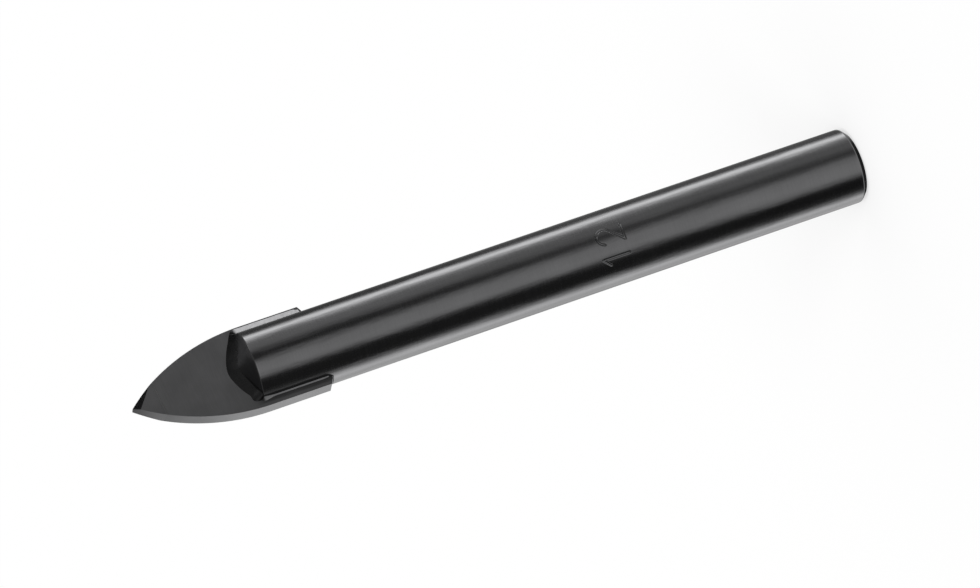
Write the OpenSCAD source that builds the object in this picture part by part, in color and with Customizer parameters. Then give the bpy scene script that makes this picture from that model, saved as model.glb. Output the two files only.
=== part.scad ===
// Glass and tile drill bit: a carbide spear point brazed into the slotted nose of a plain round shank.
// Millimetres. The bit stands on its shank end, with its axis along +Z and its point up.
// The tip's plate is wide along X and thin along Y. It cuts turning clockwise, seen from the shank.

/* [Shank] */
// Length of the whole bit, from the shank end to the point
bit_len = 100; // [60:1:160]
// Diameter of the round shank
shank_d = 10; // [6:0.5:11]
// Width of the 45 degree chamfer round the shank end
end_chamfer = 0.7; // [0.3:0.1:2]
// Included angle of the conical nose
nose_angle = 130; // [100:2:160]

/* [Carbide tip] */
// Width of the plate across its cutting corners, which is the size it drills
tip_w = 12; // [11:0.5:16]
// Thickness of the plate
tip_t = 2.3; // [1.6:0.1:3.2]
// Length of the plate, from its back edge to the point
tip_len = 25; // [20:0.5:34]
// Length of the curved spear point, from the straight sides to the point
point_len = 16.4; // [10:0.2:19]
// Length of the plate that the slot holds, behind the rim of the nose
seat_len = 9.3; // [6:0.1:14]
// Relief angle behind each cutting edge
relief_angle = 6; // [2:1:12]
// Width of the slanted corners at the back of the plate
back_corner_w = 1.3; // [0.4:0.1:2.5]
// Height of the slanted corners at the back of the plate
back_corner_h = 0.6; // [0.2:0.1:1.5]
// Length of the chisel edge across the point, from one thinning facet to the other
chisel_len = 1; // [0.4:0.1:1.4]
// Tilt of the thinning facets at the point, against the faces of the plate
thinning_tilt = 30; // [25:1:50]
// Turn of the thinning facets, which runs them along the trailing side of the point
thinning_turn = 38; // [20:1:50]

/* [Braze] */
// Thickness of the filler between the plate and its slot
braze_gap = 0.1; // [0.05:0.01:0.2]
// Reach of the filler's fillets along the wings, on the plate and on the shank
wing_fillet = 0.55; // [0.2:0.05:0.9]
// Reach of the filler's fillets on the plate, in front of the nose
nose_fillet = 1; // [0.3:0.05:1.6]
// Rise of those fillets up the nose
nose_fillet_rise = 0.7; // [0.3:0.05:1.2]

/* [Hidden] */
$fn = 96;

shank_r = shank_d / 2;
half_t = tip_t / 2;
// Heights along the axis: the plate's back edge, the bottom of its slot and the rim of the nose
tip_z = bit_len - tip_len;
slot_z = tip_z - braze_gap;
rim_z = tip_z + seat_len;
nose_h = shank_r / tan(nose_angle / 2);
slot_t = tip_t + 2 * braze_gap;

// The outline of the plate stands square to the relieved sides, so it is a little narrower than the plate
outline_r = tip_w / 2 * cos(relief_angle) - half_t * sin(relief_angle);
// Radius of the two arcs that meet at the point and run tangent into the straight sides
point_arc_r = (point_len * point_len + outline_r * outline_r) / (2 * outline_r);

// Where the face of the plate leaves the shank, and the part of the face that stands out beyond it
leave_angle = asin(half_t / shank_r);
leave_x = shank_r * cos(leave_angle);
wing_out = tip_w / 2 - tip_t * tan(relief_angle) - leave_x;
// The wing fillets keep to this share of that face, and end in a toe on the plate and a toe on the shank
wing_share = 0.8;
fillet_reach = min(wing_fillet, wing_share * wing_out);
toe_angle = leave_angle + fillet_reach / shank_r * 180 / PI;
tip_toe = [leave_x + fillet_reach, half_t];
shank_toe = shank_r * [cos(toe_angle), sin(toe_angle)];
// A hollow arc joins the two toes, with a radius of this many times the distance between them
fillet_bend = 1.1;
toe_chord = shank_toe - tip_toe;
fillet_r = fillet_bend * norm(toe_chord);
fillet_out = [toe_chord[1], -toe_chord[0]] / norm(toe_chord);
fillet_centre = (tip_toe + shank_toe) / 2 + fillet_out * sqrt(fillet_r * fillet_r - toe_chord * toe_chord / 4);

// Stations across each nose fillet, and steps along the hollow side of each section
nose_stations = 18;
hollow_steps = 5;
// The hollow side runs on past its two toes by this share, so that it dips into the plate and the nose
hollow_overrun = 0.2;
// How far the inner corner of each section lies inside the shank and the plate, which are cut away later
sink = braze_gap;
// The nose fillets end this far across the wing fillets, thinned out to a small share of their size
overlap_share = 0.8;
nose_fillet_x = leave_x + overlap_share * fillet_reach;
end_share = 0.1;

// Height of the nose cone over a point of the cross-section
function nose_z(x, y) = rim_z + (shank_r - norm([x, y])) / tan(nose_angle / 2);

// Share of its full size that a nose fillet has at a distance x from the axis
function fillet_share(x) = max(end_share, sqrt(1 - min(1, pow(abs(x) / tip_toe[0], 4))));

// Point on the hollow side of a section, a curve past the toe on the plate, a bend and the toe on the nose
function hollow(toe, bend, top, u) = (1 - u) * (1 - u) * toe + 2 * u * (1 - u) * bend + u * u * top;

// One section of a nose fillet, in the plane at x, from its buried inner corner along its hollow side
function nose_section(x) =
    let (
        base_z = nose_z(x, half_t),
        top_y = half_t + nose_fillet_rise * fillet_share(x),
        toe = [x, half_t, base_z + nose_fillet * fillet_share(x)],
        top = [x, top_y, nose_z(x, top_y)],
        corner = [x, half_t, base_z],
        bend = (2 * corner + toe + top) / 4,
        u_step = (1 + 2 * hollow_overrun) / hollow_steps
    )
    concat(
        [corner - [0, sink, sink]],
        [for (i = [0 : hollow_steps]) hollow(toe, bend, top, i * u_step - hollow_overrun)]
    );

// Turned outline of the shank, before the slot is sawn
module shank_blank() {
    rotate_extrude()
        polygon([
            [0, 0],
            [shank_r - end_chamfer, 0],
            [shank_r, end_chamfer],
            [shank_r, rim_z],
            [0, rim_z + nose_h]
        ]);
}

// The saw cut across the nose
module slot() {
    translate([-shank_d, -slot_t / 2, slot_z])
        cube([2 * shank_d, slot_t, tip_len]);
}

module shank() {
    color("dimgray")
        difference() {
            shank_blank();
            slot();
        }
}

// What is ground away from one side of the plate to make the spear point
module point_waste() {
    difference() {
        translate([0, -point_len])
            square([tip_w, 2 * point_len]);
        translate([outline_r - point_arc_r, -point_len])
            circle(point_arc_r);
    }
}

// Spear outline, drawn with the point at the origin
module tip_outline() {
    difference() {
        polygon([
            [-outline_r, 0],
            [outline_r, 0],
            [outline_r, back_corner_h - tip_len],
            [outline_r - back_corner_w, -tip_len],
            [back_corner_w - outline_r, -tip_len],
            [-outline_r, back_corner_h - tip_len]
        ]);
        point_waste();
        mirror([1, 0])
            point_waste();
    }
}

// What is ground away from the trailing side of one face at the point
module thinning_cut() {
    translate([0, -chisel_len / 2, bit_len])
        rotate([0, thinning_turn, 0])
            rotate([-thinning_tilt, 0, 0])
                translate([-tip_w / 2, -tip_w, -tip_w / 2])
                    cube(tip_w);
}

// The outline is turned by the relief angle about the axis, so each side falls away behind its cutting edge
module carbide_tip() {
    color("slategray")
        difference() {
            intersection() {
                translate([-tip_w, -half_t, tip_z])
                    cube([2 * tip_w, tip_t, tip_len]);
                translate([0, 0, bit_len])
                    rotate([0, 0, -relief_angle])
                        rotate([90, 0, 0])
                            linear_extrude(height = tip_w, center = true)
                                tip_outline();
            }
            thinning_cut();
            rotate([0, 0, 180])
                thinning_cut();
        }
}

// Corner of filler between one face of a wing and the shank, hollowed by the fillet's arc
module wing_fillet_section() {
    difference() {
        polygon([
            [leave_x - fillet_reach, half_t],
            [fillet_centre[0], half_t],
            fillet_centre,
            shank_r * fillet_centre / norm(fillet_centre)
        ]);
        translate(fillet_centre)
            circle(fillet_r);
    }
}

module wing_fillet_bar() {
    translate([0, 0, tip_z + back_corner_h])
        linear_extrude(height = rim_z - tip_z - back_corner_h)
            wing_fillet_section();
}

// Filler in front of the nose on one face: sections swept across the plate
module nose_fillet_bar() {
    sections = [
        for (i = [0 : nose_stations])
            nose_section(nose_fillet_x * (2 * i / nose_stations - 1))
    ];
    ring = len(sections[0]);
    points = [for (section = sections) each section];
    sides = [
        for (i = [0 : nose_stations - 1])
            for (k = [0 : ring - 1])
                let (next = (k + 1) % ring)
                    each [
                        [i * ring + k, (i + 1) * ring + next, (i + 1) * ring + k],
                        [i * ring + k, i * ring + next, (i + 1) * ring + next]
                    ]
    ];
    first_end = [for (k = [0 : ring - 1]) (ring - k) % ring];
    last_end = [for (k = [0 : ring - 1]) nose_stations * ring + k];
    polyhedron(points, concat(sides, [first_end, last_end]));
}

module braze() {
    color("darkgoldenrod")
        difference() {
            union() {
                intersection() {
                    shank_blank();
                    slot();
                }
                for (turn = [0, 180])
                    rotate([0, 0, turn]) {
                        nose_fillet_bar();
                        wing_fillet_bar();
                        mirror([1, 0, 0])
                            wing_fillet_bar();
                    }
            }
            shank();
            carbide_tip();
        }
}

shank();
carbide_tip();
braze();
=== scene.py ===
"""Looks of a glass and tile drill bit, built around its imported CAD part. Metres, +Z towards the point."""

import math

import bmesh
import bpy
from mathutils import Matrix, Vector, noise


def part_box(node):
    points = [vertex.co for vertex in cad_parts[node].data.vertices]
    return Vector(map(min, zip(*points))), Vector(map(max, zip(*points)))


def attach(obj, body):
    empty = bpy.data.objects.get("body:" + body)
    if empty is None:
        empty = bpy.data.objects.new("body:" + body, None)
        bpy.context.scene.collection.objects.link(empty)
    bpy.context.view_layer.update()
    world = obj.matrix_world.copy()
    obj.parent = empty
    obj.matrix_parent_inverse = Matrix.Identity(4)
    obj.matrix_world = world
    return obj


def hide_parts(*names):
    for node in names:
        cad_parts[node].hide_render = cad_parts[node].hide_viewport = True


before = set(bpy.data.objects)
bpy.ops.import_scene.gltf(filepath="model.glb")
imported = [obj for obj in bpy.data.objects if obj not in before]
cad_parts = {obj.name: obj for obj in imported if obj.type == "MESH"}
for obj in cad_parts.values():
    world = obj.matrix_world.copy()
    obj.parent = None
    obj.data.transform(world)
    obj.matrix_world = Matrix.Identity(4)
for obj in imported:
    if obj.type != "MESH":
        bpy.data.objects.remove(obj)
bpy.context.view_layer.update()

MM = 0.001

# Sizes that the frame gives
_, shank_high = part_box("shank")
tip_low, tip_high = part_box("carbide_tip")
SHANK_R = shank_high.y
BIT_LEN = tip_high.z
HALF_W = tip_high.x
HALF_T = tip_high.y
TIP_Z = tip_low.z

# Sizes repeated from the part's source
END_CHAMFER = 0.7 * MM
NOSE_ANGLE = math.radians(130)
POINT_LEN = 16.4 * MM
SEAT_LEN = 9.3 * MM
RELIEF = math.radians(6)
BACK_CORNER_W = 1.3 * MM
BACK_CORNER_H = 0.6 * MM
CHISEL_LEN = 1.0 * MM
THINNING_TILT = math.radians(30)
THINNING_TURN = math.radians(38)
BRAZE_GAP = 0.1 * MM
NOSE_FILLET_RISE = 0.7 * MM

# Sizes worked out from those
NOSE_SLOPE = 1 / math.tan(NOSE_ANGLE / 2)
RIM_Z = TIP_Z + SEAT_LEN
SLOT_HALF_T = HALF_T + BRAZE_GAP
OUTLINE_R = HALF_W * math.cos(RELIEF) - HALF_T * math.sin(RELIEF)
POINT_ARC_R = (POINT_LEN**2 + OUTLINE_R**2) / (2 * OUTLINE_R)
LEAVE_X = math.sqrt(SHANK_R**2 - HALF_T**2)

# Corners closer than this are joined
WELD = 0.0003 * MM
# Edges that turn by more than this, in degrees, break the smooth shading of each piece
SHARP_DEGREES = {"shank": 30, "plate": 15, "braze": 50}

# Camera: fitted to the photograph with the bit standing on its shank end
CAMERA_AT = Vector((-251.60, -516.52, 199.67)) * MM
CAMERA_AIM = Vector((-0.61, 0.29, 51.61)) * MM
CAMERA_ROLL = math.radians(-108.91)
CAMERA_LENS = 171.4
CAMERA_SENSOR = 36.0
CAMERA_CLIP = (0.01, 20)
CAMERA_SIDE = math.atan2(CAMERA_AT.y, CAMERA_AT.x)


def new_object(name, bm):
    """A linked object from a bmesh, with its faces turned outwards."""
    bmesh.ops.recalc_face_normals(bm, faces=bm.faces)
    mesh = bpy.data.meshes.new(name)
    bm.to_mesh(mesh)
    bm.free()
    obj = bpy.data.objects.new(name, mesh)
    bpy.context.scene.collection.objects.link(obj)
    return obj


def shade(obj, sharp_degrees):
    """Smooth shading that breaks at edges sharper than the given angle, led by the larger faces."""
    limit = math.radians(sharp_degrees)
    bm = bmesh.new()
    bm.from_mesh(obj.data)
    for face in bm.faces:
        face.smooth = True
    for edge in bm.edges:
        edge.smooth = len(edge.link_faces) == 2 and edge.calc_face_angle(0) < limit
    bm.to_mesh(obj.data)
    bm.free()
    weighted = obj.modifiers.new("weighted", "WEIGHTED_NORMAL")
    weighted.keep_sharp = True


def subtract(obj, cutter):
    """Cuts one object out of another, and removes the cutter."""
    step = obj.modifiers.new("cut", "BOOLEAN")
    step.object = cutter
    step.operation = "DIFFERENCE"
    step.solver = "EXACT"
    graph = bpy.context.evaluated_depsgraph_get()
    made = bpy.data.meshes.new_from_object(obj.evaluated_get(graph))
    obj.modifiers.clear()
    obj.data = made
    bpy.data.objects.remove(cutter)


def bridge(bm, rings):
    """Faces between neighbouring closed rings of vertices. A ring may be one vertex repeated."""
    for ring, after in zip(rings, rings[1:]):
        count = len(ring)
        for k in range(count):
            nxt = (k + 1) % count
            corners = [ring[k], ring[nxt], after[nxt], after[k]]
            corners = list(dict.fromkeys(corners))
            if len(corners) > 2:
                bm.faces.new(corners)


def box_mesh(name, low, high):
    """A box between two corners, used as a cutter."""
    bm = bmesh.new()
    bmesh.ops.create_cube(bm, size=1)
    low, high = Vector(low), Vector(high)
    bmesh.ops.scale(bm, vec=high - low, verts=bm.verts)
    bmesh.ops.translate(bm, vec=(low + high) / 2, verts=bm.verts)
    return new_object(name, bm)


def smooth_step(share):
    share = min(1, max(0, share))
    return share * share * (3 - 2 * share)


# Shank: turned rod with rounded edges, a stamped size and the sawn slot

EDGE_ROUNDS = {"face": 0.10 * MM, "chamfer": 0.30 * MM, "rim": 0.12 * MM}
ROUND_STEPS = 5
SHANK_STEP = 0.25 * MM
# Stamped size, read with the bit standing on its shank end
STAMP_Z = 35.5 * MM
STAMP_H = 3.6 * MM
DIGIT_W = 2.1 * MM
DIGIT_GAP = 0.9 * MM
STROKE_W = 0.42 * MM
STROKE_SLOPE = 0.17 * MM
STAMP_DEPTH = 0.13 * MM
STAMP_STEP = 0.045 * MM
STAMP_MARGIN = 0.5 * MM
# The one: its stem and the end of its flag, in shares of a digit's width and height
ONE_STEM_X = 0.55
ONE_FLAG_X = 0.12
ONE_FLAG_Y = 0.26
# The two: where its arc starts and how far it turns, in degrees
TWO_START = 165
TWO_TURN = -205
ARC_STEPS = 14


def rounded_corner(before, corner, after, radius):
    """Points of the arc that rounds a corner of a profile."""
    to_before = (before - corner).normalized()
    to_after = (after - corner).normalized()
    half = to_before.angle(to_after) / 2
    centre = corner + (to_before + to_after).normalized() * (radius / math.sin(half))
    start = corner + to_before * (radius / math.tan(half)) - centre
    end = corner + to_after * (radius / math.tan(half)) - centre
    points = []
    for i in range(ROUND_STEPS + 1):
        spoke = start.lerp(end, i / ROUND_STEPS)
        points.append(centre + spoke.normalized() * radius)
    return points


def shank_profile():
    """Radius and height of the turned rod, from the middle of its end face to the tip of its nose."""
    corners = [
        Vector((0, 0)),
        Vector((SHANK_R - END_CHAMFER, 0)),
        Vector((SHANK_R, END_CHAMFER)),
        Vector((SHANK_R, RIM_Z)),
        Vector((0, RIM_Z + SHANK_R * NOSE_SLOPE)),
    ]
    rounds = [EDGE_ROUNDS["face"], EDGE_ROUNDS["chamfer"], EDGE_ROUNDS["rim"]]
    profile = [corners[0]]
    for i, radius in enumerate(rounds, start=1):
        profile += rounded_corner(corners[i - 1], corners[i], corners[i + 1], radius)
    return profile + [corners[-1]]


def digit_one(left):
    stem = left + ONE_STEM_X * DIGIT_W
    return [
        Vector((left + ONE_FLAG_X * DIGIT_W, ONE_FLAG_Y * STAMP_H)),
        Vector((stem, STAMP_H / 2)),
        Vector((stem, -STAMP_H / 2)),
    ]


def digit_two(left):
    radius = DIGIT_W / 2
    centre = Vector((left + radius, STAMP_H / 2 - radius))
    line = []
    for i in range(ARC_STEPS + 1):
        angle = math.radians(TWO_START + TWO_TURN * i / ARC_STEPS)
        line.append(centre + radius * Vector((math.cos(angle), math.sin(angle))))
    return line + [Vector((left, -STAMP_H / 2)), Vector((left + DIGIT_W, -STAMP_H / 2))]


STAMP_W = 2 * DIGIT_W + DIGIT_GAP
STAMP_LINES = [digit_one(-STAMP_W / 2), digit_two(STAMP_W / 2 - DIGIT_W)]


def distance_to_line(point, line):
    """Distance from a point to a line of straight stretches."""
    nearest = math.inf
    for start, end in zip(line, line[1:]):
        along = end - start
        share = min(1, max(0, (point - start).dot(along) / along.length_squared))
        nearest = min(nearest, (point - start - along * share).length)
    return nearest


def stamp_depth(arc, height):
    """How far the surface is pressed in at a place measured from the middle of the stamp."""
    if max(abs(arc) - STAMP_W / 2, abs(height) - STAMP_H / 2) > STAMP_MARGIN:
        return 0
    distance = min(distance_to_line(Vector((arc, height)), line) for line in STAMP_LINES)
    return STAMP_DEPTH * smooth_step((STROKE_W / 2 - distance) / STROKE_SLOPE)


def steps(start, end, size):
    """Even steps of about the given size from start up to, but not including, end."""
    count = max(1, round((end - start) / size))
    return [start + (end - start) * i / count for i in range(count)]


def lathe(profile, angles):
    """A closed turned solid with the stamp pressed into it. Both ends of the profile lie on the axis."""
    bm = bmesh.new()
    rings = []
    for radius, z in profile:
        if radius == 0:
            pole = bm.verts.new((0, 0, z))
            rings.append([pole] * len(angles))
            continue
        ring = []
        for angle in angles:
            r = radius - stamp_depth((angle - CAMERA_SIDE) * SHANK_R, z - STAMP_Z)
            ring.append(bm.verts.new((r * math.cos(angle), r * math.sin(angle), z)))
        rings.append(ring)
    bridge(bm, rings)
    return bm


def make_shank():
    half_arc = (STAMP_W / 2 + STAMP_MARGIN) / SHANK_R
    half_h = STAMP_H / 2 + STAMP_MARGIN
    angles = steps(CAMERA_SIDE - half_arc, CAMERA_SIDE + half_arc, STAMP_STEP / SHANK_R)
    angles += steps(CAMERA_SIDE + half_arc, CAMERA_SIDE - half_arc + 2 * math.pi, SHANK_STEP / SHANK_R)
    profile = shank_profile()
    above = next(i for i, point in enumerate(profile) if point.y > STAMP_Z)
    stamp_heights = steps(STAMP_Z - half_h, STAMP_Z + half_h, STAMP_STEP)
    profile[above:above] = [Vector((SHANK_R, z)) for z in stamp_heights]
    obj = new_object("shank_rod", lathe(profile, angles))
    reach = 2 * SHANK_R
    slot = box_mesh(
        "slot_cutter",
        (-reach, -SLOT_HALF_T, TIP_Z - BRAZE_GAP),
        (reach, SLOT_HALF_T, BIT_LEN),
    )
    subtract(obj, slot)
    shade(obj, SHARP_DEGREES["shank"])
    return obj


# Carbide tip: a spear-shaped plate with relieved sides and two thinning facets

POINT_STEPS = 64
# Edges that turn by more than this are broken, by this much and in so many steps
BREAK_FROM = math.radians(20)
EDGE_BREAK = 0.035 * MM
BREAK_STEPS = 2


def half_outline(z):
    """Half the width of the spear outline, square to its relieved sides, at a height."""
    below_point = BIT_LEN - z
    if below_point >= POINT_LEN:
        return OUTLINE_R
    rise = POINT_LEN - below_point
    return OUTLINE_R - POINT_ARC_R + math.sqrt(POINT_ARC_R**2 - rise**2)


def plate_section(z, half):
    """The plate's four corners at one height. Each side leans by the relief angle."""
    lean = HALF_T * math.tan(RELIEF)
    out = half / math.cos(RELIEF)
    return [
        Vector((out - lean, -HALF_T, z)),
        Vector((out + lean, HALF_T, z)),
        Vector((-out + lean, HALF_T, z)),
        Vector((-out - lean, -HALF_T, z)),
    ]


def cut_thinning_facet(bm, turn):
    """Grinds away the trailing side of one face at the point."""
    spin = Matrix.Rotation(turn, 3, "Z")
    facet = spin @ Matrix.Rotation(THINNING_TURN, 3, "Y") @ Matrix.Rotation(-THINNING_TILT, 3, "X")
    cut = bmesh.ops.bisect_plane(
        bm,
        geom=bm.verts[:] + bm.edges[:] + bm.faces[:],
        plane_co=spin @ Vector((0, -CHISEL_LEN / 2, BIT_LEN)),
        plane_no=facet @ Vector((0, -1, 0)),
        clear_outer=True,
    )
    edges = [item for item in cut["geom_cut"] if isinstance(item, bmesh.types.BMEdge)]
    bmesh.ops.edgenet_fill(bm, edges=edges)


def break_edges(bm):
    """Takes the keenness off the plate's edges."""
    bmesh.ops.recalc_face_normals(bm, faces=bm.faces)
    sharp = [e for e in bm.edges if len(e.link_faces) == 2 and e.calc_face_angle(0) > BREAK_FROM]
    bmesh.ops.bevel(
        bm,
        geom=sharp,
        offset=EDGE_BREAK,
        segments=BREAK_STEPS,
        affect="EDGES",
        clamp_overlap=True,
    )


def make_carbide_tip():
    bm = bmesh.new()
    heights = [(TIP_Z, OUTLINE_R - BACK_CORNER_W), (TIP_Z + BACK_CORNER_H, OUTLINE_R)]
    point_z = BIT_LEN - POINT_LEN
    for i in range(POINT_STEPS + 1):
        z = point_z + POINT_LEN * math.sin(math.pi / 2 * i / POINT_STEPS)
        heights.append((z, half_outline(z)))
    rings = [[bm.verts.new(p) for p in plate_section(z, half)] for z, half in heights]
    bridge(bm, rings)
    bm.faces.new(rings[0])
    bm.faces.new(rings[-1])
    bmesh.ops.remove_doubles(bm, verts=bm.verts, dist=WELD)
    for turn in (0, math.pi):
        cut_thinning_facet(bm, turn)
    break_edges(bm)
    obj = new_object("spear_plate", bm)
    shade(obj, SHARP_DEGREES["plate"])
    return obj


# Braze: beads of filler where the plate's faces meet the shank, and the film in the slot

BEAD_STEPS = {"wing": 36, "corner": 8, "nose": 72}
BEAD_HOLLOW_STEPS = 7
BEAD_SINK = 0.04 * MM
# Reach of the beads along the wings, on the plate and on the shank: narrow at the wing with the cutting
# edge of the face, wide at the other one
WING_REACH = {1: (0.20 * MM, 0.16 * MM), -1: (0.84 * MM, 0.50 * MM)}
# Reach of the beads on the plate in front of the nose, and how fully they keep it towards each wing
NOSE_REACH = 1.22 * MM
NOSE_FULLNESS = {1: 5, -1: 2}
# Extra size of the narrow bead where it turns the corner of the nose, and how far from there it starts
CORNER_SWELL = {1: 1.1, -1: 0.0}
SWELL_REACH = 1.6 * MM
# Each bead starts with this share of its size and is full after this length
FOOT_SHARE = 0.7
FOOT_LEN = 0.8 * MM
# How flat the beads are: 0 is fully hollow and 1 is straight from toe to toe
WING_FLATNESS = 0.97
NOSE_FLATNESS = 0.85
# Share by which the size of the beads wanders, and the length over which it does
BEAD_WOBBLE = 0.05
BEAD_WOBBLE_PITCH = 1.8 * MM


def nose_z(x, y):
    """Height of the nose cone."""
    return RIM_Z + (SHANK_R - math.hypot(x, y)) * NOSE_SLOPE


def on_shank(point):
    """The nearest place on or in the shank: inside its round and under its nose, sunk a little."""
    radius = math.hypot(point.x, point.y)
    scale = min(1, (SHANK_R - BEAD_SINK) / radius)
    x, y = point.x * scale, point.y * scale
    return Vector((x, y, min(point.z, nose_z(x, y) - BEAD_SINK)))


def nose_out(x):
    """Direction on the plate's face that leads away from the nose."""
    slope = x / math.hypot(x, HALF_T) * NOSE_SLOPE
    return Vector((slope, 0, 1)).normalized()


def half_bead_path(side):
    """Seam between one face and the shank, from the foot of one wing to the middle of the nose.

    Each station has a seam point, a direction on the plate, a direction on the shank, the reach along
    each of them and the flatness.
    """
    on_plate, on_rod = WING_REACH[side]
    across = Vector((side, 0, 0))
    corner = Vector((side * LEAVE_X, HALF_T, RIM_Z))
    round_the_rod = Vector((-side * HALF_T, LEAVE_X, 0)).normalized()
    up_the_nose = Vector((0, 1, -HALF_T / SHANK_R * NOSE_SLOPE)).normalized()
    foot = TIP_Z + BACK_CORNER_H
    stations = []
    for i in range(BEAD_STEPS["wing"]):
        z = foot + (RIM_Z - foot) * i / BEAD_STEPS["wing"]
        size = FOOT_SHARE + (1 - FOOT_SHARE) * smooth_step((z - foot) / FOOT_LEN)
        seam = Vector((corner.x, HALF_T, z))
        stations.append((seam, across, round_the_rod, on_plate * size, on_rod * size, WING_FLATNESS))
    for i in range(BEAD_STEPS["corner"]):
        share = i / BEAD_STEPS["corner"]
        out = across.slerp(nose_out(corner.x), share)
        back = round_the_rod.lerp(up_the_nose, share).normalized()
        stations.append((corner, out, back, on_plate, on_rod, WING_FLATNESS))
    half_nose = BEAD_STEPS["nose"] // 2
    for i in range(half_nose + 1):
        x = corner.x * math.cos(math.pi / 2 * i / half_nose)
        share = 1 - (x / corner.x) ** NOSE_FULLNESS[side]
        seam = Vector((x, HALF_T, nose_z(x, HALF_T)))
        plate_reach = on_plate + (NOSE_REACH - on_plate) * share
        nose_reach = on_rod + (NOSE_FILLET_RISE - on_rod) * share
        flatness = WING_FLATNESS + (NOSE_FLATNESS - WING_FLATNESS) * share
        stations.append((seam, nose_out(x), up_the_nose, plate_reach, nose_reach, flatness))
    swollen = []
    for seam, out, back, plate_reach, rod_reach, flatness in stations:
        swell = 1 + CORNER_SWELL[side] * smooth_step(1 - (seam - corner).length / SWELL_REACH)
        swollen.append((seam, out, back, plate_reach * swell, rod_reach * swell, flatness))
    return swollen


def bead_section(seam, out, back, on_plate, on_rod, flatness, seed):
    """One section of the bead: a buried corner, then its hollow side from the plate to the shank."""
    wobble = 1 + BEAD_WOBBLE * noise.noise(Vector((seam.x, seed * MM, seam.z)) / BEAD_WOBBLE_PITCH)
    sink = Vector((0, BEAD_SINK, 0))
    toe = seam + out * on_plate * wobble - sink
    top = on_shank(seam + back * on_rod * wobble)
    bend = seam.lerp((toe + top) / 2, flatness)
    side = []
    for i in range(BEAD_HOLLOW_STEPS + 1):
        u = i / BEAD_HOLLOW_STEPS
        side.append(toe * (1 - u) ** 2 + bend * 2 * u * (1 - u) + top * u**2)
    return [on_shank(seam) - sink] + side


def add_bead(bm, turn):
    spin = Matrix.Rotation(turn, 3, "Z")
    rings = []
    for station in half_bead_path(1)[:-1] + half_bead_path(-1)[::-1]:
        rings.append([bm.verts.new(spin @ p) for p in bead_section(*station, seed=turn)])
    bridge(bm, rings)
    bm.faces.new(rings[0])
    bm.faces.new(rings[-1])


def add_film(bm):
    """The thin layer of filler between the plate and the three walls of its slot."""
    end_x = LEAVE_X - BEAD_SINK
    top = RIM_Z + BRAZE_GAP
    outline = [
        (-SLOT_HALF_T, TIP_Z - BRAZE_GAP),
        (SLOT_HALF_T, TIP_Z - BRAZE_GAP),
        (SLOT_HALF_T, top),
        (HALF_T, top),
        (HALF_T, TIP_Z),
        (-HALF_T, TIP_Z),
        (-HALF_T, top),
        (-SLOT_HALF_T, top),
    ]
    rings = [[bm.verts.new((x, y, z)) for y, z in outline] for x in (-end_x, end_x)]
    bridge(bm, rings)
    for ring in rings:
        bm.faces.new(ring)


def make_braze():
    bm = bmesh.new()
    for turn in (0, math.pi):
        add_bead(bm, turn)
    bmesh.ops.remove_doubles(bm, verts=bm.verts, dist=WELD)
    add_film(bm)
    obj = new_object("braze_beads", bm)
    shade(obj, SHARP_DEGREES["braze"])
    return obj


# Materials

# Each noise has its frequency per millimetre along X, Y and Z, and its detail. Its values are taken to
# lie in this range, and the greys made from it are this much stronger in blue
NOISE_RANGE = (0.3, 0.7)
BLUE_GAIN = 1.02

SHANK_CLOUD = ((0.25, 0.25, 0.12), 4.0)
SHANK_RINGS = ((0.35, 0.35, 9.0), 3.0)
SHANK_SPECKS = ((2.0, 2.0, 2.0), 4.0)
SHANK_WAVES = ((0.55, 0.55, 0.14), 3.0)
SHANK_GREYS = (0.19, 0.21)
SHANK_RING_GAINS = (0.96, 1.04)
SHANK_ROUGHNESS = (0.15, 0.20)
SHANK_WAVE_HEIGHT = 0.05 * MM
SHANK_WAVE_STRENGTH = 1.0
# How far the wear of the shank's edges reaches, and how much brighter it makes them
WEAR_REACH = 0.3 * MM
WEAR_GAIN = 1.2

CARBIDE_CLOUD = ((0.3, 0.3, 0.3), 4.0)
CARBIDE_LINES = ((0.5, 0.5, 14.0), 3.0)
CARBIDE_LINE_TURN = (0, math.radians(28), 0)
CARBIDE_GREYS = (0.207, 0.238)
CARBIDE_LINE_GAINS = (0.95, 1.05)
CARBIDE_ROUGHNESS = (0.30, 0.40)
CARBIDE_LINE_HEIGHT = 0.0015 * MM
CARBIDE_LINE_STRENGTH = 0.5
# Share of its colour that painted shade leaves the carbide with beside the shank, and the heights and
# the distances from the axis between which it fades
CARBIDE_SHADE_SHARE = 0.58
CARBIDE_SHADE_HEIGHTS = (RIM_Z - 0.5 * MM, RIM_Z + 1.5 * MM)
CARBIDE_SHADE_RADII = (SHANK_R + 0.5 * MM, SHANK_R + 0.8 * MM)
# Share of the carbide's roughness that grinding leaves at the point, and the heights between which it starts
GROUND_SHARE = 0.35
GROUND_HEIGHTS = (BIT_LEN - 4.0 * MM, BIT_LEN - 2.8 * MM)

BRAZE_CLOUD = ((0.8, 0.8, 0.8), 4.0)
BRAZE_LUMPS = ((3.0, 3.0, 3.0), 5.0)
BRAZE_GREYS = (0.21, 0.27)
BRAZE_ROUGHNESS = (0.24, 0.34)
BRAZE_LUMP_HEIGHT = 0.02 * MM
BRAZE_LUMP_STRENGTH = 0.15
# Heights between which painted shade starts on the filler in front of the nose, the places across the bit
# between which it deepens, and the share of its colour that it leaves the filler with where it is lightest
# and where it is deepest
NOSE_SHADE_HEIGHTS = (RIM_Z - 0.3 * MM, RIM_Z + 0.3 * MM)
NOSE_SHADE_PLACES = (-1.5 * MM, 1.5 * MM)
NOSE_SHADE_SHARES = (0.30, 0.11)


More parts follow.
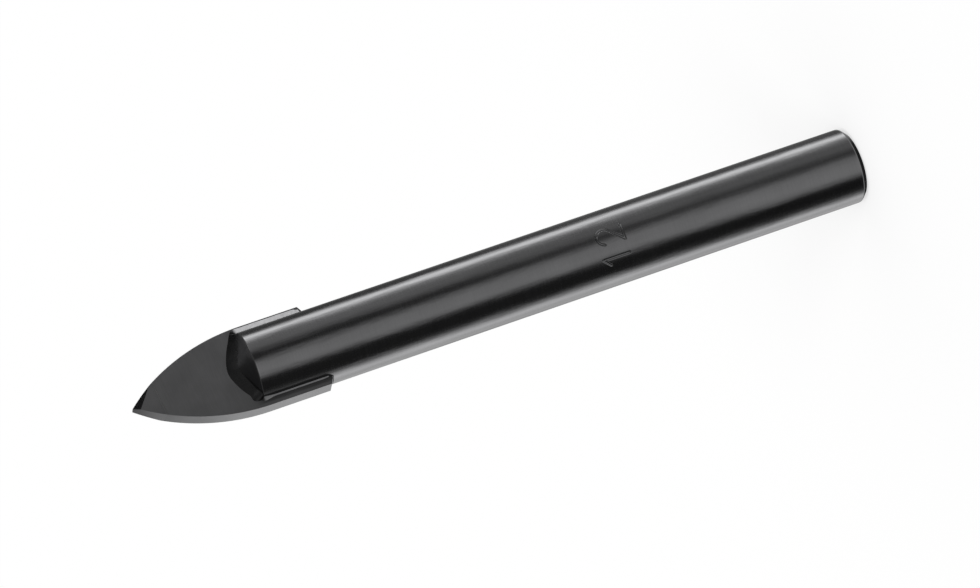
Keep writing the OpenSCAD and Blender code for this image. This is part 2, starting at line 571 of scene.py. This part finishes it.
class Metal:
    """Short helper to build the node material of a metal."""

    def __init__(self, name):
        self.material = bpy.data.materials.new(name)
        self.material.use_nodes = True
        self.tree = self.material.node_tree
        self.tree.nodes.clear()
        self.shader = self.add("ShaderNodeBsdfPrincipled")
        self.shader.inputs["Metallic"].default_value = 1.0
        output = self.add("ShaderNodeOutputMaterial")
        self.link(self.shader.outputs["BSDF"], output.inputs["Surface"])

    def add(self, kind, **values):
        node = self.tree.nodes.new(kind)
        for key, value in values.items():
            setattr(node, key, value)
        return node

    def link(self, start, end):
        self.tree.links.new(start, end)

    def set(self, name, value):
        """Feeds one of the shader's inputs."""
        self.link(value, self.shader.inputs[name])

    def noise(self, frequency, detail, turn=(0, 0, 0)):
        """Noise in object space, with its frequency per millimetre along each axis."""
        place = self.add("ShaderNodeTexCoord")
        mapping = self.add("ShaderNodeMapping")
        mapping.inputs["Rotation"].default_value = turn
        mapping.inputs["Scale"].default_value = [f / MM for f in frequency]
        self.link(place.outputs["Object"], mapping.inputs["Vector"])
        grain = self.add("ShaderNodeTexNoise")
        grain.inputs["Scale"].default_value = 1.0
        grain.inputs["Detail"].default_value = detail
        self.link(mapping.outputs["Vector"], grain.inputs["Vector"])
        return grain.outputs["Fac"]

    def ranged(self, value, start, end, low, high, kind):
        """Runs from low to high while a value goes from start to end."""
        node = self.add("ShaderNodeMapRange", interpolation_type=kind)
        node.inputs["From Min"].default_value = start
        node.inputs["From Max"].default_value = end
        node.inputs["To Min"].default_value = low
        node.inputs["To Max"].default_value = high
        self.link(value, node.inputs["Value"])
        return node.outputs["Result"]

    def spread(self, value, low, high):
        """Spreads a noise over a range."""
        return self.ranged(value, *NOISE_RANGE, low, high, "LINEAR")

    def fade(self, value, start, end, low, high):
        """Runs smoothly from low to high while a value goes from start to end."""
        return self.ranged(value, start, end, low, high, "SMOOTHSTEP")

    def greys(self, value, low, high):
        """Spreads a noise between two greys."""
        ramp = self.add("ShaderNodeValToRGB")
        for element, position, grey in zip(ramp.color_ramp.elements, NOISE_RANGE, (low, high)):
            element.position = position
            element.color = (grey, grey, grey * BLUE_GAIN, 1)
        self.link(value, ramp.inputs["Fac"])
        return ramp.outputs["Color"]

    def places(self):
        """Place across the width of the plate, height along the axis of the bit, and distance from it."""
        place = self.add("ShaderNodeTexCoord")
        split = self.add("ShaderNodeSeparateXYZ")
        self.link(place.outputs["Object"], split.inputs["Vector"])
        flat = self.add("ShaderNodeCombineXYZ")
        self.link(split.outputs["X"], flat.inputs["X"])
        self.link(split.outputs["Y"], flat.inputs["Y"])
        length = self.add("ShaderNodeVectorMath", operation="LENGTH")
        self.link(flat.outputs["Vector"], length.inputs[0])
        return split.outputs["X"], split.outputs["Z"], length.outputs["Value"]

    def math(self, operation, first, second):
        node = self.add("ShaderNodeMath", operation=operation)
        self.link(first, node.inputs[0])
        self.link(second, node.inputs[1])
        return node.outputs["Value"]

    def scaled(self, colour, factor):
        node = self.add("ShaderNodeVectorMath", operation="SCALE")
        self.link(colour, node.inputs[0])
        self.link(factor, node.inputs["Scale"])
        return node.outputs["Vector"]

    def worn_edge(self, height, edge, specks):
        """A factor that rises from 1 to the gain of wear at the height of an edge, broken up by specks."""
        rise = self.fade(height, edge - WEAR_REACH, edge, 1.0, WEAR_GAIN)
        fall = self.fade(height, edge, edge + WEAR_REACH, WEAR_GAIN, 1.0)
        return self.math("MINIMUM", self.spread(specks, 1.0, WEAR_GAIN), self.math("MINIMUM", rise, fall))

    def bump(self, value, height, strength):
        bump = self.add("ShaderNodeBump")
        bump.inputs["Distance"].default_value = height
        bump.inputs["Strength"].default_value = strength
        self.link(value, bump.inputs["Height"])
        self.set("Normal", bump.outputs["Normal"])


def shank_material():
    """Dark polished steel, with the fine rings and long waves that grinding leaves, and worn edges."""
    metal = Metal("dark_ground_steel")
    rings = metal.noise(*SHANK_RINGS)
    specks = metal.noise(*SHANK_SPECKS)
    _, height, _ = metal.places()
    worn_end = metal.worn_edge(height, END_CHAMFER, specks)
    worn_rim = metal.worn_edge(height, RIM_Z, specks)
    worn = metal.math("MAXIMUM", worn_end, worn_rim)
    grain = metal.math("MULTIPLY", metal.spread(rings, *SHANK_RING_GAINS), worn)
    colour = metal.greys(metal.noise(*SHANK_CLOUD), *SHANK_GREYS)
    metal.set("Base Color", metal.scaled(colour, grain))
    metal.set("Roughness", metal.spread(rings, *SHANK_ROUGHNESS))
    metal.bump(metal.noise(*SHANK_WAVES), SHANK_WAVE_HEIGHT, SHANK_WAVE_STRENGTH)
    return metal.material


def carbide_material():
    """Satin ground carbide, with fine grinding lines across the plate and painted shade where it lies beside
    the shank.
    """
    metal = Metal("satin_carbide")
    lines = metal.noise(*CARBIDE_LINES, turn=CARBIDE_LINE_TURN)
    _, height, radius = metal.places()
    # Painted shade: the carbide is darker where it lies beside the shank, below the rim
    above = metal.fade(height, *CARBIDE_SHADE_HEIGHTS, CARBIDE_SHADE_SHARE, 1.0)
    outside = metal.fade(radius, *CARBIDE_SHADE_RADII, CARBIDE_SHADE_SHARE, 1.0)
    painted_shade = metal.math("MAXIMUM", above, outside)
    grain = metal.math("MULTIPLY", metal.spread(lines, *CARBIDE_LINE_GAINS), painted_shade)
    colour = metal.greys(metal.noise(*CARBIDE_CLOUD), *CARBIDE_GREYS)
    metal.set("Base Color", metal.scaled(colour, grain))
    ground = metal.fade(height, *GROUND_HEIGHTS, 1.0, GROUND_SHARE)
    metal.set("Roughness", metal.math("MULTIPLY", metal.spread(lines, *CARBIDE_ROUGHNESS), ground))
    metal.bump(lines, CARBIDE_LINE_HEIGHT, CARBIDE_LINE_STRENGTH)
    return metal.material


def braze_material():
    """Dull solidified filler with a slightly lumpy skin, and painted shade in front of the nose."""
    metal = Metal("dull_braze")
    lumps = metal.noise(*BRAZE_LUMPS)
    across, height, _ = metal.places()
    # Painted shade: the filler in front of the nose is darker, most towards +X
    below = metal.fade(height, *NOSE_SHADE_HEIGHTS, 1.0, 0.0)
    nose_shade = metal.math("MAXIMUM", below, metal.fade(across, *NOSE_SHADE_PLACES, *NOSE_SHADE_SHARES))
    colour = metal.greys(metal.noise(*BRAZE_CLOUD), *BRAZE_GREYS)
    metal.set("Base Color", metal.scaled(colour, nose_shade))
    metal.set("Roughness", metal.spread(lumps, *BRAZE_ROUGHNESS))
    metal.bump(lumps, BRAZE_LUMP_HEIGHT, BRAZE_LUMP_STRENGTH)
    return metal.material


# Stage: a plain white floor, and a tent of reflector panels that only reflections see

WHITE = (1, 1, 1, 1)
FLOOR_HALF = 5.0
# Share of its white that the floor shows by itself, which leaves a light shadow on it
FLOOR_GLOW = 0.65
# The world and the key lamp together light a white floor to white
WORLD_LEVEL = 0.7
KEY_HEIGHT = math.radians(60)
KEY_SPREAD = math.radians(30)
TENT_R = 0.30
TENT_LIFT = 0.05 * MM
TENT_SEGMENTS = 360
# Radii in millimetres of the dark and the pale rings close under the bit, which show only in the chamfer of
# its end. The dark ones have levels by the angle in degrees from the camera's side
DARK_RINGS = [3.9, 4.9]
DARK_LEVELS = [(-180, 0.04), (35, 0.04), (65, 0.45), (120, 0.60), (180, 0.04)]
PALE_RINGS = [5.1, 5.9]
PALE_LEVEL = 0.60
# Radii in millimetres of the rings on the floor further out
FLOOR_RINGS = [6.3, 7, 8, 10, 13, 17, 22, 30, 45, 70, 90, 120, 160, 200, 250]
# Distances in millimetres at which the floor has the near and the far levels, on the two sides of the camera
NEAR_AND_FAR_R = {"lower": (40, 150), "upper": (90, 300)}
MIRROR_STEPS = 40
# Behind the bit, from this angle on, the floor evens out to the level at both ends of the tables
BACK_FROM = 140
BACK_LEVEL = 0.30
DOME_STEPS = 45
# The panels reach up to this height in degrees, and fade into the even level of the dome over them
PANEL_TOP = 8
DOME_FROM = 46
DOME_LEVEL = 0.15
# Soft cards on the dome: angle from the camera's side, height and reach in degrees, and level
DOME_CARDS = [(92, 50, 22, 0.80), (92, 36, 14, 0.02), (-141, 44, 12, 0.10)]
# Panel levels round the bit, by the angle in degrees from the camera's side. The softboxes on both sides of
# the bit have the same levels near to it and far from it
LOWER_SOFTBOX = [(-180, BACK_LEVEL), (-150, 0.85), (-130, 1.15), (-116, 1.75)]
UPPER_SOFTBOX = [(88, 0.75), (96, 1.55), (102, 2.60), (108, 2.60), (117, 1.00)]
FAR_PANELS = [
    *LOWER_SOFTBOX,
    (-106, 1.45),
    (-98, 0.80),
    (-88, 0.30),
    (-79, 0.06),
    (-70, 0.035),
    (-46, 0.035),
    (-38, 0.06),
    (-30, 0.28),
    (-23, 0.53),
    (-14, 0.62),
    (0, 0.58),
    (8, 0.55),
    (16, 0.40),
    (24, 0.19),
    (31, 0.065),
    (37, 0.05),
    (43, 0.11),
    (52, 0.28),
    (62, 0.41),
    (80, 0.44),
    *UPPER_SOFTBOX,
    (124, 0.12),
    (145, 0.10),
    (180, BACK_LEVEL),
]
NEAR_PANELS = [
    *LOWER_SOFTBOX,
    (-108, 1.15),
    (-100, 0.52),
    (-91, 0.19),
    (-83, 0.06),
    (-74, 0.03),
    (-52, 0.03),
    (-46, 0.06),
    (-40, 0.25),
    (-34, 0.45),
    (-26, 0.60),
    (-14, 0.64),
    (0, 0.60),
    (8, 0.58),
    (16, 0.50),
    (24, 0.31),
    (30, 0.19),
    (36, 0.13),
    (42, 0.17),
    (48, 0.25),
    (54, 0.31),
    (61, 0.33),
    (68, 0.31),
    (76, 0.36),
    *UPPER_SOFTBOX,
    (125, 0.20),
    (145, 0.17),
    (180, BACK_LEVEL),
]


def table_level(table, place):
    """Level at a place in a table of places and levels."""
    for (start, low), (end, high) in zip(table, table[1:]):
        if start <= place <= end:
            return low + (high - low) * (place - start) / (end - start)
    return table[-1][1]


def panel_level(turn, radius):
    """Level of the panels at an angle from the camera's side and a distance from the bit."""
    degrees = math.degrees(math.remainder(turn, 2 * math.pi))
    near = table_level(NEAR_PANELS, degrees)
    far = table_level(FAR_PANELS, degrees)
    near_r, far_r = NEAR_AND_FAR_R["lower" if degrees < 0 else "upper"]
    share = min(1, max(0, (radius / MM - near_r) / (far_r - near_r)))
    return near + (far - near) * share


def direction(turn, height):
    """Direction with a turn round the axis of the bit and a height over the floor."""
    flat = math.cos(height)
    return Vector((flat * math.cos(turn), flat * math.sin(turn), math.sin(height)))


def dome_level(turn, height):
    """Level on the dome at an angle from the camera's side and a height."""
    panel = panel_level(turn, TENT_R)
    fade = [(0, panel), (PANEL_TOP, panel), (DOME_FROM, DOME_LEVEL), (90, DOME_LEVEL)]
    level = table_level(fade, math.degrees(height))
    for card_turn, card_height, reach, card_level in DOME_CARDS:
        card = direction(math.radians(card_turn), math.radians(card_height))
        away = math.degrees(card.angle(direction(turn, height), 0))
        level += (card_level - level) * smooth_step(2 - 2 * away / reach)
    return level


def degrees_from_camera(x, y):
    return math.degrees(math.remainder(math.atan2(y, x) - CAMERA_SIDE, 2 * math.pi))


def mirrored_side(x, y):
    """Angle from the camera's side at which the shank shows a place on the floor.

    The camera is taken to look level and from far away.
    """
    turn = 0
    for _ in range(MIRROR_STEPS):
        facing = CAMERA_SIDE + turn / 2
        seen = math.atan2(y - SHANK_R * math.sin(facing), x - SHANK_R * math.cos(facing))
        turn += math.remainder(seen - CAMERA_SIDE - turn, 2 * math.pi) / 2
    return turn


def floor_level(x, y):
    """Level of a place on the floor, evened out behind the bit, where the two sides meet."""
    level = panel_level(mirrored_side(x, y), math.hypot(x, y))
    behind = (abs(degrees_from_camera(x, y)) - BACK_FROM) / (180 - BACK_FROM)
    return level + (BACK_LEVEL - level) * smooth_step(behind)


def emptied_material(name):
    material = bpy.data.materials.new(name)
    material.use_nodes = True
    material.node_tree.nodes.clear()
    return material


def floor_material():
    """Matt white, part of which glows for the camera and in reflections, so that shadows on it stay light."""
    material = emptied_material("white_floor")
    tree = material.node_tree
    matt = tree.nodes.new("ShaderNodeBsdfDiffuse")
    matt.inputs["Color"].default_value = WHITE
    glow = tree.nodes.new("ShaderNodeEmission")
    rays = tree.nodes.new("ShaderNodeLightPath")
    seen = rays.outputs["Is Camera Ray"]
    for kind in ("Is Glossy Ray", "Is Transmission Ray"):
        either = tree.nodes.new("ShaderNodeMath")
        either.operation = "MAXIMUM"
        tree.links.new(seen, either.inputs[0])
        tree.links.new(rays.outputs[kind], either.inputs[1])
        seen = either.outputs["Value"]
    share = tree.nodes.new("ShaderNodeMath")
    share.operation = "MULTIPLY"
    tree.links.new(seen, share.inputs[0])
    share.inputs[1].default_value = FLOOR_GLOW
    mix = tree.nodes.new("ShaderNodeMixShader")
    tree.links.new(share.outputs["Value"], mix.inputs["Fac"])
    tree.links.new(matt.outputs["BSDF"], mix.inputs[1])
    tree.links.new(glow.outputs["Emission"], mix.inputs[2])
    output = tree.nodes.new("ShaderNodeOutputMaterial")
    tree.links.new(mix.outputs["Shader"], output.inputs["Surface"])
    return material


def make_floor():
    bm = bmesh.new()
    corners = [(-1, -1), (1, -1), (1, 1), (-1, 1)]
    bm.faces.new([bm.verts.new((x * FLOOR_HALF, y * FLOOR_HALF, 0)) for x, y in corners])
    floor = new_object("floor", bm)
    floor.data.materials.append(floor_material())


def tent_material():
    """Glows with the level stored at each corner of the tent."""
    material = emptied_material("reflector_panels")
    tree = material.node_tree
    level = tree.nodes.new("ShaderNodeAttribute")
    level.attribute_name = "level"
    glow = tree.nodes.new("ShaderNodeEmission")
    output = tree.nodes.new("ShaderNodeOutputMaterial")
    tree.links.new(level.outputs["Fac"], glow.inputs["Strength"])
    tree.links.new(glow.outputs["Emission"], output.inputs["Surface"])
    return material


def make_tent():
    """Panels on the floor round the bit and up to a dome, so that each streak runs straight along it."""
    angles = [2 * math.pi * k / TENT_SEGMENTS for k in range(TENT_SEGMENTS)]
    bm = bmesh.new()
    rings = []
    levels = []

    def add_ring(radius, z, level_at):
        places = [(radius * math.cos(angle), radius * math.sin(angle)) for angle in angles]
        rings.append([bm.verts.new((x, y, z)) for x, y in places])
        levels.extend(level_at(x, y) for x, y in places)

    for radius in DARK_RINGS:
        add_ring(radius * MM, TENT_LIFT, lambda x, y: table_level(DARK_LEVELS, degrees_from_camera(x, y)))
    for radius in PALE_RINGS:
        add_ring(radius * MM, TENT_LIFT, lambda x, y: PALE_LEVEL)
    for radius in FLOOR_RINGS:
        add_ring(radius * MM, TENT_LIFT, floor_level)
    for i in range(DOME_STEPS + 1):
        height = math.pi / 2 * i / DOME_STEPS
        add_ring(
            TENT_R * math.cos(height),
            TENT_LIFT + TENT_R * math.sin(height),
            lambda x, y: dome_level(math.atan2(y, x) - CAMERA_SIDE, height),
        )
    bridge(bm, rings)
    tent = new_object("reflector_tent", bm)
    attribute = tent.data.attributes.new("level", "FLOAT", "POINT")
    attribute.data.foreach_set("value", levels)
    tent.data.materials.append(tent_material())
    tent.visible_camera = False
    tent.visible_diffuse = False
    tent.visible_shadow = False
    tent.visible_transmission = False


def make_light():
    """Even white light from all round, and a soft lamp over the camera, whose shadow falls behind the bit."""
    world = bpy.data.worlds.new("studio")
    world.use_nodes = True
    background = world.node_tree.nodes["Background"]
    background.inputs["Color"].default_value = WHITE
    background.inputs["Strength"].default_value = WORLD_LEVEL
    bpy.context.scene.world = world
    lamp = bpy.data.lights.new("key", "SUN")
    lamp.energy = (1 - WORLD_LEVEL) * math.pi / math.sin(KEY_HEIGHT)
    lamp.angle = KEY_SPREAD
    obj = bpy.data.objects.new("key", lamp)
    obj.visible_glossy = False
    bpy.context.scene.collection.objects.link(obj)
    towards = direction(CAMERA_SIDE, KEY_HEIGHT)
    obj.rotation_euler = towards.to_track_quat("Z", "Y").to_euler()


def make_camera():
    camera = bpy.data.cameras.new("camera")
    camera.lens = CAMERA_LENS
    camera.sensor_width = CAMERA_SENSOR
    camera.clip_start, camera.clip_end = CAMERA_CLIP
    obj = bpy.data.objects.new("camera", camera)
    bpy.context.scene.collection.objects.link(obj)
    look = (CAMERA_AIM - CAMERA_AT).to_track_quat("-Z", "Y").to_matrix()
    turned = look @ Matrix.Rotation(CAMERA_ROLL, 3, "Z")
    obj.matrix_world = Matrix.Translation(CAMERA_AT) @ turned.to_4x4()
    bpy.context.scene.camera = obj


def place(piece, node, slot, material):
    """Lets a piece stand for a CAD node."""
    piece.data.materials.clear()
    piece.data.materials.append(material)
    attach(piece, "root")
    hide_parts(node)


make_camera()
make_light()
make_floor()
make_tent()
place(make_shank(), "shank", "shank", shank_material())
place(make_carbide_tip(), "carbide_tip", "carbide", carbide_material())
place(make_braze(), "braze", "braze", braze_material())

bpy.context.scene.view_settings.view_transform = "Standard"

bpy.context.view_layer.update()
